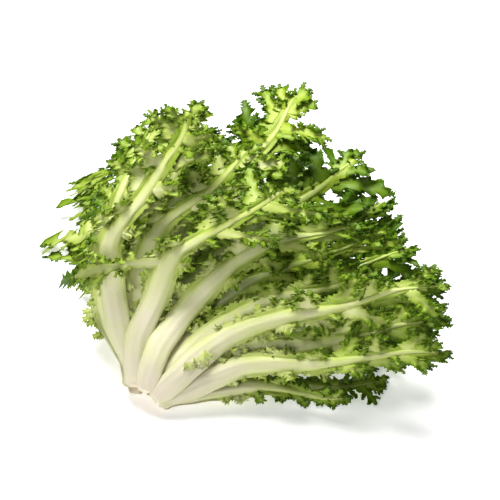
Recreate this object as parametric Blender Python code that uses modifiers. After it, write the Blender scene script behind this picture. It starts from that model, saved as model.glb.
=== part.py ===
"""A head of frisee (curly endive), cut and lying on its side: a short stump and separate toothed leaves."""

import math
import random

import bmesh
import bpy
from mathutils import Matrix, Vector

# Metres. X runs right, Y away from the viewer, Z up; the head rests on Z = 0.

# The head
APEX = Vector((-0.0693, -0.1056, 0.0032))  # the point behind the stump that every leaf fans out from
AXIS_TURN = math.radians(42)  # the head's axis, from +Y towards +X
AXIS_LIFT = math.radians(32)  # and above the surface
VIEW_LIFT = math.radians(42)  # the side of the head that lies uppermost faces this way, seen from -Y

# How the leaves fan out, in degrees round the axis once they are fully spread
FAN_HALF = 72
FRONT_RISE = 29
EDGE_RISE = 0.02
BACK_RISE = (-45, 0.5, 0.0045)  # the surface, as a parabola across the fan
SPREAD_AT_STUMP = 0.60
SPREAD_FROM = 0.023
SPREAD_FULL_AT = 0.130

# Further out the leaves lean over to the right, those on the left most, and the lowest a little to the left
LEAN = 30
LEAN_FROM = 0.050
LEAN_FULL_AT = 0.235
LEAN_ACROSS = (-15, 60)
LEAN_LEVELS = (-1.0, -0.2)
LEAN_LOWEST = -0.5

# What the surface and their own weight do to the leaves
FLOOR_SOFTNESS = 0.002
SAG_FROM = 0.100
SAG_SLOPE = 0.52
SHARPEST_BEND = 20  # softnesses above the surface where it no longer lifts anything
PRESSED = (0.002, 0.020)  # between these heights a leaf's lobes go from lying flat to standing free
WAVE = 0.0015
WAVE_LENGTH = 0.095
WAVE_FROM = 0.040
WAVE_FULL_AT = 0.100
CROSS_WAVE = 0.6
# For each axis: the phase of the main wave, then the phase and pace of the cross wave
WAVE_PHASES = ((0.7, 2.1, 1.3), (1.9, 0.4, 1.2), (3.1, 5.2, 1.1))

# Stump
STUMP_TOP = 0.034  # from the apex to the top of the dome that the leaves stand on
STUMP_RIM = 0.023  # and to its rim
STUMP_HALF_ANGLE = 37
STUMP_EDGE = 0.0020
STUMP_RINGS = 7
STUMP_SIDES = 24
GAP = 0.0004
BASE_TILT = 6  # degrees by which a leaf's base keeps off the dome beside it

# Leaf
BLADE = 0.0010
# A rib's half width and its depth, each by its place along the leaf
RIB_HALF_WIDTHS = ((0, 0.0050), (0.13, 0.0078), (0.36, 0.0076), (0.6, 0.0046), (0.85, 0.0022), (1, 0.0008))
RIB_DEPTHS = ((0, 0.0030), (0.13, 0.0044), (0.36, 0.0054), (0.6, 0.0036), (0.85, 0.0018), (1, 0.0010))
RIB_EDGE = 0.5  # a rib's edge is this share of its depth
CELL_FILL = 0.88  # a rib is at most this share as deep as the room that its leaf has
CELL_FILLS = ((0, 0.88), (0.2, 0.85), (0.36, 0.6), (1, 0.5))  # and at most this share as wide, along the leaf
STALK_STATIONS = (0.0, 0.07, 0.17, 0.27, 0.36)
LOBE_END = 0.88
WING = 0.0012
LOBE_SWEEP = math.radians(44)
LOBE_BREADTH = 0.80
LOBE_REACHES = ((0.3, 0.45), (0.45, 0.8), (0.65, 1.0), (0.85, 0.8), (1.0, 0.5))
LOBE_LEAST = 0.0035
LOBE_LIFT = 0.36  # a lobe's teeth curl up or down by up to this share of its reach or breadth
LIFT_FILL = 0.9
TIP_SLANT = 0.36  # the end lobe widens by this much along its length, on both sides
TIP_LIFT = 0.11
STEP_ASIDE = 0.01  # in levels, to find which way is through the leaf
# Round a lobe, from its root to its point and back: share of its reach, of its breadth, and its lift
LOBE_RIM = (
    (0.42, -0.50, -0.75),
    (0.52, -0.16, 0.10),
    (1.00, -0.10, 0.90),
    (0.66, 0.14, -0.30),
    (0.60, 0.46, 0.80),
)
LOBE_CORE = (0.45, 0.0, 0.1)
# Up one side of the end lobe: share of its length, of its width, and its lift
TIP_RIM = ((0.35, 1.0, 0.9), (0.48, 0.6, 0.0), (0.82, 1.0, -0.9), (0.76, 0.3, 0.1))
TIP_POINT = (1.0, 0.0, 0.8)
TIP_CORE = (0.45, 0.0, 0.2)

# One layer of leaves behind the other: level 1 is the upper side of the head, -1 the surface it lies on.
# Each layer is (level, half its thickness, leaves), and each leaf is
# (place across the fan in degrees, length, half width in degrees, pairs of lobes).
LAYERS = (
    (0.88, 0.115, ((-57, 0.242, 8, 5), (-34, 0.185, 12, 5), (11, 0.200, 11, 5), (31, 0.185, 8, 5))),
    (0.63, 0.115, ((-44, 0.190, 11, 5), (-16, 0.172, 12, 4), (5, 0.155, 8, 4), (24, 0.175, 10, 5))),
    (0.38, 0.115, ((-61, 0.192, 7, 5), (-40, 0.245, 8, 5), (-6, 0.175, 12, 4), (18, 0.186, 11, 4))),
    (0.13, 0.115, ((-50, 0.187, 12, 4), (-24, 0.208, 12, 4), (2, 0.188, 12, 4), (27, 0.178, 12, 4))),
    (-0.12, 0.115, ((-61, 0.184, 8, 4), (-39, 0.210, 12, 4), (-14, 0.200, 12, 4), (12, 0.188, 12, 4))),
    (-0.37, 0.115, ((-49, 0.190, 12, 4), (-26, 0.210, 11, 4), (-2, 0.196, 12, 4), (24, 0.180, 12, 4))),
    (-0.62, 0.115, ((-46, 0.208, 7, 4), (-25, 0.190, 11, 4), (-2, 0.190, 11, 4), (22, 0.180, 11, 4))),
    (-0.87, 0.115, ((-32, 0.164, 7, 5), (-14.5, 0.178, 10, 4), (9.5, 0.180, 9, 4), (30, 0.165, 9, 4))),
    (0.30, 0.45, ((47, 0.115, 6, 4),)),
    (-0.60, 0.38, ((48, 0.142, 7, 5),)),
)
OUTER_LEVEL = 0.6
OUTER_FAN = 45
SEED = 7


def clear_scene():
    for obj in list(bpy.data.objects):
        bpy.data.objects.remove(obj)


def between(table, at):
    """The value at this place along a table of (place, value) rows."""
    for (low, first), (high, second) in zip(table, table[1:]):
        if at <= high:
            return first + (second - first) * max(at - low, 0) / (high - low)
    return table[-1][1]


def eased(low, high, at):
    share = min(max((at - low) / (high - low), 0), 1)
    return share * share * (3 - 2 * share)


AXIS = Vector(
    (
        math.cos(AXIS_LIFT) * math.sin(AXIS_TURN),
        math.cos(AXIS_LIFT) * math.cos(AXIS_TURN),
        math.sin(AXIS_LIFT),
    )
)
VIEWER = Vector((0, -math.cos(VIEW_LIFT), math.sin(VIEW_LIFT)))
FRONT = (VIEWER - AXIS * VIEWER.dot(AXIS)).normalized()
ACROSS = AXIS.cross(FRONT)


def rise_limits(fan):
    """The head's highest and lowest angle at this place across the fan, in degrees."""
    front = FRONT_RISE * math.sqrt(max(1 - (fan / FAN_HALF) ** 2, EDGE_RISE))
    middle, slope, curve = BACK_RISE
    return front, middle + slope * fan + curve * fan * fan


def rise(fan, level):
    """The angle above or below the fan's plane, in degrees, at this level."""
    front, back = rise_limits(fan)
    return (front + back) / 2 + level * (front - back) / 2


def spread(distance):
    """How far the leaves have fanned out at this distance from the apex, from 0 to 1."""
    left = 1 - min(max((distance - SPREAD_FROM) / (SPREAD_FULL_AT - SPREAD_FROM), 0), 1)
    return 1 - (1 - SPREAD_AT_STUMP) * left * left


def waved(point, share):
    """The point moved by slow waves, so that no leaf runs quite straight."""
    turn = 2 * math.pi / WAVE_LENGTH
    moved = point.copy()
    for axis, (main, cross, pace) in enumerate(WAVE_PHASES):
        along_next = math.sin(turn * point[(axis + 1) % 3] + main)
        along_last = math.sin(turn * pace * point[(axis + 2) % 3] + cross)
        moved[axis] += WAVE * share * (along_next + CROSS_WAVE * along_last)
    return moved


def settled(height):
    """The height once the head lies on the surface: nothing below it, and the top sagging."""
    if height > SAG_FROM:
        height = SAG_FROM + (height - SAG_FROM) * SAG_SLOPE
    ratio = (height - BLADE / 2) / FLOOR_SOFTNESS
    return height if ratio > SHARPEST_BEND else BLADE / 2 + FLOOR_SOFTNESS * math.log1p(math.exp(ratio))


def leant(distance, fan, level):
    """The place across the fan, once the leaf has leant over at this distance from the apex."""
    left, right = LEAN_ACROSS
    share = min((right - fan) / (right - left), 1)
    share *= LEAN_LOWEST + (1 - LEAN_LOWEST) * eased(*LEAN_LEVELS, level)
    reached = min(max((distance - LEAN_FROM) / (LEAN_FULL_AT - LEAN_FROM), 0), 1)
    return fan + LEAN * share * math.sin(reached * math.pi / 2)


def loose_point(distance, fan, level):
    """A point of the head before it settles: distance from the apex, degrees across the fan, and level."""
    fan = leant(distance, fan, level)
    turned = Vector((rise(fan, level), fan)) * spread(distance)
    angle = math.radians(turned.length)
    side = (FRONT * turned.x + ACROSS * turned.y).normalized() if turned.length else FRONT
    direction = AXIS * math.cos(angle) + side * math.sin(angle)
    return waved(direction * distance, eased(WAVE_FROM, WAVE_FULL_AT, distance)) + APEX


def head_point(distance, fan, level):
    point = loose_point(distance, fan, level)
    return Vector((point.x, point.y, settled(point.z)))


def stump_reach(degrees):
    """How far the stump's domed top is from the apex, at this angle from the head's axis."""
    share = min(max(degrees / STUMP_HALF_ANGLE, 0), 1)
    return STUMP_TOP - (STUMP_TOP - STUMP_RIM) * share * share


class Leaf:
    """One leaf: its place in the head and its own proportions."""

    def __init__(self, level, level_half, fan, length, half_width, pairs, rng):
        self.level = level
        self.level_half = level_half
        self.fan = fan
        self.length = length
        self.half_width = half_width
        self.pairs = pairs
        self.rng = rng
        front, back = rise_limits(fan)
        self.room = math.radians((front - back) / 2 * level_half)
        self.start = stump_reach(math.hypot(rise(fan, level), fan) * SPREAD_AT_STUMP - BASE_TILT) + GAP

    def opened(self, along):
        """How wide a radian of the fan is at this place along the leaf."""
        distance = self.start + along * self.length
        return distance * spread(distance)

    def rib_half_width(self, along):
        room = math.radians(self.half_width) * self.opened(along)
        return min(between(RIB_HALF_WIDTHS, along), room * between(CELL_FILLS, along))

    def rib_depth(self, along):
        return min(between(RIB_DEPTHS, along), 2 * self.room * self.opened(along) * CELL_FILL)

    def most_lift(self, along, height):
        """The lift, in shares of the leaf's layer, that comes to this height in metres, or as much as fits."""
        return min(height / (self.room * self.opened(along)), LIFT_FILL)

    def cell_place(self, along, aside):
        """Distance from the apex and degrees across the fan: along the leaf from 0 to 1, metres aside of the rib."""
        distance = self.start + along * self.length
        degrees = math.degrees(aside / (distance * spread(distance)))
        limit = self.half_width
        return distance, self.fan + max(min(degrees, limit), -limit)

    def lifted(self, place, lift):
        """The level of a point of the leaf: pressed flat near the surface."""
        free = eased(*PRESSED, loose_point(*place, self.level).z)
        return self.level + lift * free * self.level_half

    def place(self, along, aside, lift):
        place = self.cell_place(along, aside)
        return head_point(*place, self.lifted(place, lift))

    def through(self, along, aside, lift):
        """The direction through the leaf at this place, from its underside to its upper side."""
        place = self.cell_place(along, aside)
        level = self.lifted(place, lift)
        step = loose_point(*place, level + STEP_ASIDE) - loose_point(*place, level - STEP_ASIDE)
        if loose_point(*place, level).z > SAG_FROM:
            step.z *= SAG_SLOPE
        return step.normalized()


def leaf_surface(leaf):
    """The leaf as an open sheet of triangles, with the way from its middle to its upper side at each point."""
    points, halves, faces = [], [], []

    def add(along, aside, lift, thickness):
        points.append(leaf.place(along, aside, lift))
        halves.append(leaf.through(along, aside, lift) * thickness / 2)
        return len(points) - 1

    step = (LOBE_END - STALK_STATIONS[-1]) / leaf.pairs
    stations = list(STALK_STATIONS) + [STALK_STATIONS[-1] + step * (n + 1) for n in range(leaf.pairs)]
    middle, edges = [], {-1: [], 1: []}
    for at in stations:
        depth = leaf.rib_depth(at)
        middle.append(add(at, 0, 0, depth))
        for side in (-1, 1):
            width = leaf.rib_half_width(at) + WING * (at >= STALK_STATIONS[-1])
            edges[side].append(add(at, side * width, 0, max(depth * RIB_EDGE, BLADE)))

    def face(a, b, c, side):
        faces.append((a, b, c) if side > 0 else (a, c, b))

    for side in (-1, 1):
        for n in range(len(stations) - 1):
            face(middle[n], middle[n + 1], edges[side][n + 1], side)
            face(middle[n], edges[side][n + 1], edges[side][n], side)
        for n in range(leaf.pairs):
            first = len(STALK_STATIONS) - 1 + n
            add_lobe(leaf, add, face, side, n, stations[first], step, edges[side][first : first + 2])
    add_tip(leaf, add, face, stations[-1], middle[-1], edges[-1][-1], edges[1][-1])
    return points, halves, faces


def add_lobe(leaf, add, face, side, number, at, step, root):
    """One side lobe: two teeth and a pointed tip round its middle, each lifted or lowered."""
    centre = at + step / 2
    widest = math.radians(leaf.half_width) * leaf.opened(centre)
    base = leaf.rib_half_width(centre) + WING
    run = max(widest * between(LOBE_REACHES, centre) * leaf.rng.uniform(0.9, 1.0) - base, LOBE_LEAST)
    forward = run * math.tan(LOBE_SWEEP)
    breadth = step * leaf.length * LOBE_BREADTH
    upward = 1 if (number + (side > 0)) % 2 else -1
    wave = upward * leaf.rng.uniform(0.7, 1.0) * leaf.most_lift(centre, min(run, breadth) * LOBE_LIFT)

    def spot(out, across, lift):
        ahead = (forward * out + breadth * across) / leaf.length
        return add(centre + ahead, side * (base + run * out), lift * wave, BLADE)

    core = spot(*LOBE_CORE)
    rim = [root[0], *(spot(*place) for place in LOBE_RIM), root[1]]
    for a, b in zip(rim, rim[1:]):
        face(core, b, a, side)
    face(core, root[0], root[1], side)


def add_tip(leaf, add, face, at, middle, left, right):
    """The end lobe, with teeth on both sides of its point."""
    base = leaf.rib_half_width(at) + WING
    height = leaf.most_lift(at, (1 - at) * leaf.length * TIP_LIFT)

    def spot(side, up, out, lift):
        aside = (base + up * (1 - at) * leaf.length * TIP_SLANT) * out
        return add(at + (1 - at) * up, side * aside, lift * height, BLADE)

    core = spot(1, *TIP_CORE)
    rim = [left, *(spot(-1, *place) for place in TIP_RIM), spot(1, *TIP_POINT)]
    rim += [*(spot(1, *place) for place in reversed(TIP_RIM)), right]
    for a, b in zip(rim, rim[1:]):
        face(core, b, a, -1)
    face(core, left, middle, -1)
    face(core, middle, right, -1)


def solid_leaf(name, leaf, material, collection):
    """The leaf's sheet extruded to its thickness, flat underneath where it lies on the surface."""
    points, halves, faces = leaf_surface(leaf)
    shape = bmesh.new()
    half = shape.verts.layers.float_vector.new("half thickness")
    corners = [shape.verts.new(point) for point in points]
    for corner, way in zip(corners, halves):
        corner[half] = way
    for face in faces:
        shape.faces.new([corners[index] for index in face])
    made = bmesh.ops.extrude_face_region(shape, geom=shape.faces[:])
    for corner in made["geom"]:
        if isinstance(corner, bmesh.types.BMVert):
            corner.co += 2 * corner[half]
    for corner in shape.verts:
        corner.co -= corner[half]
        corner.co.z = max(corner.co.z, 0)
    bmesh.ops.recalc_face_normals(shape, faces=shape.faces[:])
    mesh = bpy.data.meshes.new(name)
    shape.to_mesh(mesh)
    shape.free()
    mesh.materials.append(material)
    obj = bpy.data.objects.new(name, mesh)
    collection.objects.link(obj)
    return obj


def stump(material, collection):
    """The stump, turned round the head's axis: a domed top, a rounded edge and a cut face."""
    profile = []
    for n in range(STUMP_RINGS):
        degrees = STUMP_HALF_ANGLE * n / (STUMP_RINGS - 1)
        reach = stump_reach(degrees)
        profile.append((reach * math.sin(math.radians(degrees)), reach * math.cos(math.radians(degrees))))
    rim, height = profile[-1]
    profile.append((rim, height - STUMP_EDGE))
    profile.append((rim - STUMP_EDGE, height - 2 * STUMP_EDGE))
    profile.append((0, height - 2 * STUMP_EDGE))
    mesh = bpy.data.meshes.new("crown")
    mesh.from_pydata([(x, 0, z) for x, z in profile], [(n, n + 1) for n in range(len(profile) - 1)], [])
    obj = bpy.data.objects.new("crown", mesh)
    collection.objects.link(obj)
    turn = obj.modifiers.new("Turn", "SCREW")
    turn.steps = STUMP_SIDES
    turn.render_steps = STUMP_SIDES
    turn.use_merge_vertices = True
    turn.merge_threshold = 0.00005
    obj.matrix_world = Matrix.Translation(APEX) @ AXIS.to_track_quat("Z", "X").to_matrix().to_4x4()
    mesh.materials.append(material)
    return obj


def leaf_finish(name, colour):
    material = bpy.data.materials.new(name)
    material.use_nodes = True
    shader = material.node_tree.nodes["Principled BSDF"]
    shader.inputs["Base Color"].default_value = (*colour, 1)
    shader.inputs["Roughness"].default_value = 0.45
    shader.inputs["Metallic"].default_value = 0
    return material


def main():
    clear_scene()
    collection = bpy.data.collections.new("frisee")
    bpy.context.scene.collection.children.link(collection)
    cream = leaf_finish("pale_stump", (0.80, 0.74, 0.58))
    green = leaf_finish("green_leaf", (0.17, 0.30, 0.03))
    yellow = leaf_finish("pale_leaf", (0.42, 0.50, 0.09))
    stump(cream, collection)
    rng = random.Random(SEED)
    finishes = {"outer": green, "inner": yellow}
    counts = {"outer": 0, "inner": 0}
    for level, level_half, rows in LAYERS:
        for fan, *row in rows:
            kind = "outer" if abs(level) > OUTER_LEVEL or abs(fan) > OUTER_FAN else "inner"
            counts[kind] += 1
            leaf = Leaf(level, level_half, fan, *row, rng)
            solid_leaf(f"{kind}_leaf_{counts[kind]:02d}", leaf, finishes[kind], collection)


main()
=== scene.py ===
"""Looks of the frisee head: finely cut frilly leaves and a trimmed stump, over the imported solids."""

import math
import random

import bpy
import numpy as np
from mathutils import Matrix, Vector


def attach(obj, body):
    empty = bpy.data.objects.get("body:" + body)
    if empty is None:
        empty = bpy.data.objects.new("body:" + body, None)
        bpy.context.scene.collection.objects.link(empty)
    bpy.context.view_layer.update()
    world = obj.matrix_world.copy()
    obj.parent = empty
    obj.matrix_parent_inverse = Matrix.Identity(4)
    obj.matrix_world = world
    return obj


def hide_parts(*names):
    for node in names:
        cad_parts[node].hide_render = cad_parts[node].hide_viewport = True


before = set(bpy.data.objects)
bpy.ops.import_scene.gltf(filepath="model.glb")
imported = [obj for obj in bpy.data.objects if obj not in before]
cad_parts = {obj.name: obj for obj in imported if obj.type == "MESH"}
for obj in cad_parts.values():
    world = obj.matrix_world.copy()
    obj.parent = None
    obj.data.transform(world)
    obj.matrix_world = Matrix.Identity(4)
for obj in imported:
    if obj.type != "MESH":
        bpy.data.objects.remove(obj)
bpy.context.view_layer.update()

# Metres and degrees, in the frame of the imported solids. The head's form is the source's own.

# The head
APEX = np.array((-0.0693, -0.1056, 0.0032))  # the point behind the stump that every leaf fans out from
AXIS_TURN = math.radians(42)
AXIS_LIFT = math.radians(32)
VIEW_LIFT = math.radians(42)
FAN_HALF = 72
FRONT_RISE = 29
EDGE_RISE = 0.02
BACK_RISE = (-45, 0.5, 0.0045)
SPREAD_AT_STUMP = 0.60
SPREAD_FROM = 0.023
SPREAD_FULL_AT = 0.130
LEAN = 30
LEAN_FROM = 0.050
LEAN_FULL_AT = 0.235
LEAN_ACROSS = (-15, 60)
LEAN_LEVELS = (-1.0, -0.2)
LEAN_LOWEST = -0.5
SAG_FROM = 0.100
SAG_SLOPE = 0.52
WAVE = 0.0015
WAVE_LENGTH = 0.095
WAVE_FROM = 0.040
WAVE_FULL_AT = 0.100
CROSS_WAVE = 0.6
WAVE_PHASES = ((0.7, 2.1, 1.3), (1.9, 0.4, 1.2), (3.1, 5.2, 1.1))
STUMP_TOP = 0.034
STUMP_RIM = 0.023
STUMP_HALF_ANGLE = 37
BASE_TILT = 6
FLOOR_GAP = 0.0005  # the lowest middle of a blade above the surface
FLOOR_SOFTNESS = 0.003

# Each layer is (level, half its thickness, leaves), and each leaf is
# (place across the fan in degrees, length, half width in degrees, pairs of lobes), as in the source.
LAYERS = (
    (0.88, 0.115, ((-57, 0.242, 8, 5), (-34, 0.185, 12, 5), (11, 0.200, 11, 5), (31, 0.185, 8, 5))),
    (0.63, 0.115, ((-44, 0.190, 11, 5), (-16, 0.172, 12, 4), (5, 0.155, 8, 4), (24, 0.175, 10, 5))),
    (0.38, 0.115, ((-61, 0.192, 7, 5), (-40, 0.245, 8, 5), (-6, 0.175, 12, 4), (18, 0.186, 11, 4))),
    (0.13, 0.115, ((-50, 0.187, 12, 4), (-24, 0.208, 12, 4), (2, 0.188, 12, 4), (27, 0.178, 12, 4))),
    (-0.12, 0.115, ((-61, 0.184, 8, 4), (-39, 0.210, 12, 4), (-14, 0.200, 12, 4), (12, 0.188, 12, 4))),
    (-0.37, 0.115, ((-49, 0.190, 12, 4), (-26, 0.210, 11, 4), (-2, 0.196, 12, 4), (24, 0.180, 12, 4))),
    (-0.62, 0.115, ((-46, 0.208, 7, 4), (-25, 0.190, 11, 4), (-2, 0.190, 11, 4), (22, 0.180, 11, 4))),
    (-0.87, 0.115, ((-32, 0.164, 7, 5), (-14.5, 0.178, 10, 4), (9.5, 0.180, 9, 4), (30, 0.165, 9, 4))),
    (0.30, 0.45, ((47, 0.115, 6, 4),)),
    (-0.60, 0.38, ((48, 0.142, 7, 5),)),
)
OUTER_LEVEL = 0.6  # leaves further than this from the middle level are outer leaves
OUTER_FAN = 45  # and so are those further than this across the fan
FRONT_LEVEL = 0.6  # leaves above this level show their broad pale arms
FINE_LEVEL = 0.2  # leaves above this one have more rows and more leaflets
BACK_LEVEL = -0.5  # leaves below this one lie under the head

# How green the leaves are, from 0 for a white rib to 1 for the deepest green
SUNLIT_FAN = -38  # the outer leaves on this side are paler
SUNLIT_GREEN = 0.32
LEAF_GREEN = 0.42
GAP_SHADE_LEVELS = (-0.5, 0.2)  # the leaves that show between the front leaves are painted a deeper green, as painted shade in the gaps
GAP_SHADE_GREEN = 0.62

# Rib: tables of (share of the leaf's length, value)
RIB_SUNK = 0.014  # how far a rib runs on down the stump
RIB_ROWS = 74
RIB_COLUMNS = 15
COLUMN_GATHER = 0.8  # under 1, the columns gather at the rib's edges
RIB_END = 0.93  # where the rib runs out, as a share of the leaf's length
SWAY = 0.0016
SWAY_TURN = 7
RIB_HALF_WIDTHS = (
    (0, 0.0086),
    (0.13, 0.0088),
    (0.3, 0.0064),
    (0.45, 0.0042),
    (0.65, 0.0028),
    (0.85, 0.0016),
    (1, 0.0005),
)
RIB_DEPTHS = ((0, 0.0040), (0.13, 0.0050), (0.3, 0.0046), (0.6, 0.0030), (0.85, 0.0016), (1, 0.0005))
WIDTH_FILLS = ((0, 2.3), (0.13, 1.25), (0.2, 0.98), (0.36, 0.68), (1, 0.5))
FRONT_RIB = 1.38  # how much broader the ribs in front are past their stalks
FRONT_RIB_RISE = (0.2, 0.45)
BACK_RIB = 0.75
DEPTH_FILL = 0.95
RIB_ROUND_END = 0.010
RIB_LEAST_END = 0.02
RIB_BLUNT = 0.35  # the share of its width that the rounded end keeps
RIB_PHASES = (0, 6)
FLESH_PAST = 1.02  # the flesh runs out this far past the rib's half width
FLESH_SHAPE = 0.7
RIDGES = 0.11  # how high the ridges along a rib are, as a share of its depth
RIDGE_PACE = 10
RIB_GREENNESS = ((0, 0.02), (0.1, 0.08), (0.3, 0.20), (0.6, 0.32), (1, 0.46))
OUTWARD_BULGE = 0.62  # how much of a rib's depth is on its rounded outer side

# The toothed web along a rib's sides
WEB_WIDTHS = ((0, 0.0001), (0.12, 0.0003), (0.3, 0.0020), (0.5, 0.0034), (0.8, 0.0036), (1, 0.0012))
WEB_THICKNESS = 0.0006
WEB_TEETH = ((0.18, 0), (0.3, 0.5), (0.5, 0.8), (1, 0.8))
WEB_MARGIN = 0.99  # the columns past this share of the width are the web's margin
WEB_BLUNT = 0.3
WEB_SWELL = (0.75, 0.45, 0.0055)  # the margin's middle width, how much it swells, and the pace in metres
WEB_TRIM = 0.6
WEB_CURL = (0.5, 0.009)  # how far the web lifts, and the pace in metres
WEB_GREEN = (0.14, 0.12)  # how much greener than the rib it is low down, and what comes on further up
WEB_GREEN_RISE = (0.05, 0.4)

# The outer leaves clasp the stump: degrees from its axis that their bases reach, by layer
CLASP_ANGLES = {0.88: 39, 0.63: 31, -0.62: 31, -0.87: 39}
CLASP_SIDE_ANGLE = 37
# Where the leaves that fill the front of the base end on the stump, in degrees up and across
BASE_PLACES = {(0.63, -16): (36, -13), (0.38, -6): (31, 2)}
LEAST_DISTANCE = 0.012  # from the apex, for the leaves that don't clasp the stump
CLASP_DISTANCE = 0.0235  # and for those that do
CLASP_END = 0.052
HEEL_DROP = 0.0062  # how far the bases run on past the stump's rim
HEEL_TURN = math.radians(70)  # and how far they turn in under it

# Lobes: the leaf's side arms
STALK_END = 0.36
LOBE_END = 0.88
LAST_SMALL_LOBE = 0.93
LOBE_SWEEP = math.radians(44)
LOBE_REACHES = ((0.3, 0.45), (0.45, 0.8), (0.65, 1.0), (0.85, 0.8), (1.0, 0.5))
LEAST_REACH = 0.008
LOBE_ROWS = 25
LOBE_COLUMNS = 7
# How many leaflets and rows the lobes and the small lobes have, on the leaves nearer the viewer and behind
FINE_LOBE = (5, LOBE_ROWS)
COARSE_LOBE = (2, 19)
FINE_SMALL_LOBE = (2, 15)
COARSE_SMALL_LOBE = (1, 11)
LOBE_CLAWS = 4
SMALL_LOBE_CLAWS = 2
ARM_LEAFLETS = 6
ARM_CLAWS = 5
# Half the width of a lobe along it, as shares of its root's: a wide web, an arm and a broad end
LOBE_WIDTHS = (
    (0, 0.3),
    (0.09, 1.0),
    (0.16, 0.8),
    (0.28, 0.58),
    (0.5, 0.66),
    (0.75, 0.74),
    (0.92, 0.45),
    (1.0, 0.04),
)
# The same for the arms of the leaves in front
ARM_WIDTHS = (
    (0, 0.3),
    (0.09, 1.15),
    (0.16, 0.95),
    (0.28, 0.64),
    (0.45, 0.56),
    (0.7, 0.86),
    (0.9, 0.55),
    (1.0, 0.04),
)
LOBE_ROOT = 0.55  # the share of the rib's half width at which a lobe's middle line starts
ROOT_SHARE = 0.75  # the share of the rib's half width from which a lobe rises
ROOT_RISE = 1.6
ROOT_DEPTH = 0.0003
LOBE_BENDS = (-0.35, 0.6)
PHASES = (0, 6.3)
SMOOTH_TO = 0.30  # a lobe has claws and leaflets from this share of its length
ARM_SMOOTH_TO = 0.5
SMOOTH_FADE = 0.2
CLAW_PHASE = 0.7  # sets the claws of a lobe's two sides apart
CLAW_SHAPE = 0.8
CLAW_DEPTH = 0.62
CLAW_EDGE = 1.2
TOOTH_ROWS = (0.86, 1.08)
RUFFLE_PACE = 1.25  # ruffles to a claw
RUFFLES = (0.45, 0.9)
RUFFLE_RISE = (0.15, 0.6)
CUP = 0.30
CUP_RISE = (0.12, 0.35)
SWEPT = 0.75  # how far a lobe's claws lean towards its tip
SWEPT_RISE = (0.08, 0.35)
SWEPT_SHAPE = 1.5
TIP_GREENER = 0.32
TIP_MIDDLE = 0.35  # the share of that which its middle line gets
EDGE_GREENER = 0.14
LOBE_FLESH = 1.6
FLESH_THICKER = 2.5
LOBE_LIGHTS = (-0.7, 0.7)
BLADE = 0.00042
EDGE = 0.00020

# Where the lobes stand on the leaf, and how they differ from each other
LOBE_JITTER = (-0.15, 0.15)
LOBE_LENGTHS = (0.85, 1.0)
LOBE_OVERRUN = 1.02
LOBE_TILTS = (0.5, 1.0)
LOBE_YAWS = (-0.2, 0.15)
LOBE_SPRINGS = (-0.6, 1.4)
ROOM_SHARE = 0.5
UPWARD_GREENER = 0.20
ARM_ROOT = 0.40  # the width of a root, as a share of the step between two lobes
LOBE_ROOT_WIDTH = 0.36
ARM_PALER = 0.12
SMALL_LOBE_LENGTHS = (0.35, 0.6)
SMALL_LOBE_ROOT = 0.17
SMALL_LOBE_TURN = 0.15
SMALL_LOBE_TILT = 1.4
SMALL_LOBE_CURLS = (-0.5, 0.5)
SMALL_LOBE_GREENER = 0.06
END_GREENER = 0.10
# The three lobes that end a leaf: side, yaw, the sign of the leaf's own turn in it, and reach
END_LOBES = ((1, 0.05, 1, 1.0), (-1, 0.50, 1, 0.85), (1, 0.50, -1, 0.85))
END_TURNS = (-0.12, 0.12)
END_LENGTH = 0.9
END_ROOT = 0.30
END_TILTS = (-0.25, 0.25)
END_CURLS = (-0.5, 0.5)
END_LEAFLETS = 4
END_CLAWS = 3

# Leaflets: the outline is half the width along it, with its teeth
LEAFLET_ROWS = 8
LEAFLET_COLUMNS = 3
LEAFLET_WIDTHS = (0.50, 1.00, 0.42, 0.95, 0.34, 0.70, 0.16, 0.02)
TOOTH_LEAN = (0, 0.12, 0, 0.16, 0, 0.16, 0, 0)
LEAFLET_CURLS = (-1.5, 1.8)
LEAFLET_BENDS = (-0.6, 0.6)
LEAFLET_CUPS = (-0.7, 0.7)
LEAFLET_RUFFLE = 0.5
LEAFLET_RUFFLE_PACE = 1.9
LEAFLET_EDGE_GREENER = 0.10
LEAFLET_TIP_GREENER = 0.12
LEAFLET_LIGHTS = (-1, 1)
# And on a lobe's edge
LEAFLET_JITTER = (-0.3, 0.3)
LEAFLETS_FROM = 0.05
LEAFLETS_TO = 1.02
LEAFLET_SPREADS = (30, 80)
LEAFLET_NARROWING = 0.45
LEAFLET_RISES = (-0.9, 1.1)
LEAFLET_SHARES = (0.20, 0.32)  # of the lobe's length
LEAFLET_SIZES = (0.0065, 0.0105)
LEAFLET_HALVES = (0.26, 0.40)
LEAFLET_GREENER = 0.04
END_LEAFLET = (0.22, 0.09)

# Frills on the stalk: where they start, how small and large they are, and how far apart
STALK_FRILLS_FROM = {"inner": 0.08, "outer": 0.17}
STALK_FRILLS = {"inner": (0.010, 0.021), "outer": (0.005, 0.012)}
STALK_FRILLS_APART = {"inner": (0.012, 0.034), "outer": (0.015, 0.045)}
STALK_FRILL_GREEN = {"inner": 0.27, "outer": 0.36}
STALK_FRILLS_BEHIND = 0.25  # of the rib's depth
STALK_FRILLS_OUT = 1.02
STALK_FRILL_JITTER = (0, 0.06)
STALK_FRILL_YAWS = (0.7, 1.4)
STALK_FRILL_TILTS = (-0.6, 0.35)
LOOSE_LEAFLET_HALVES = (0.3, 0.45)

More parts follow.
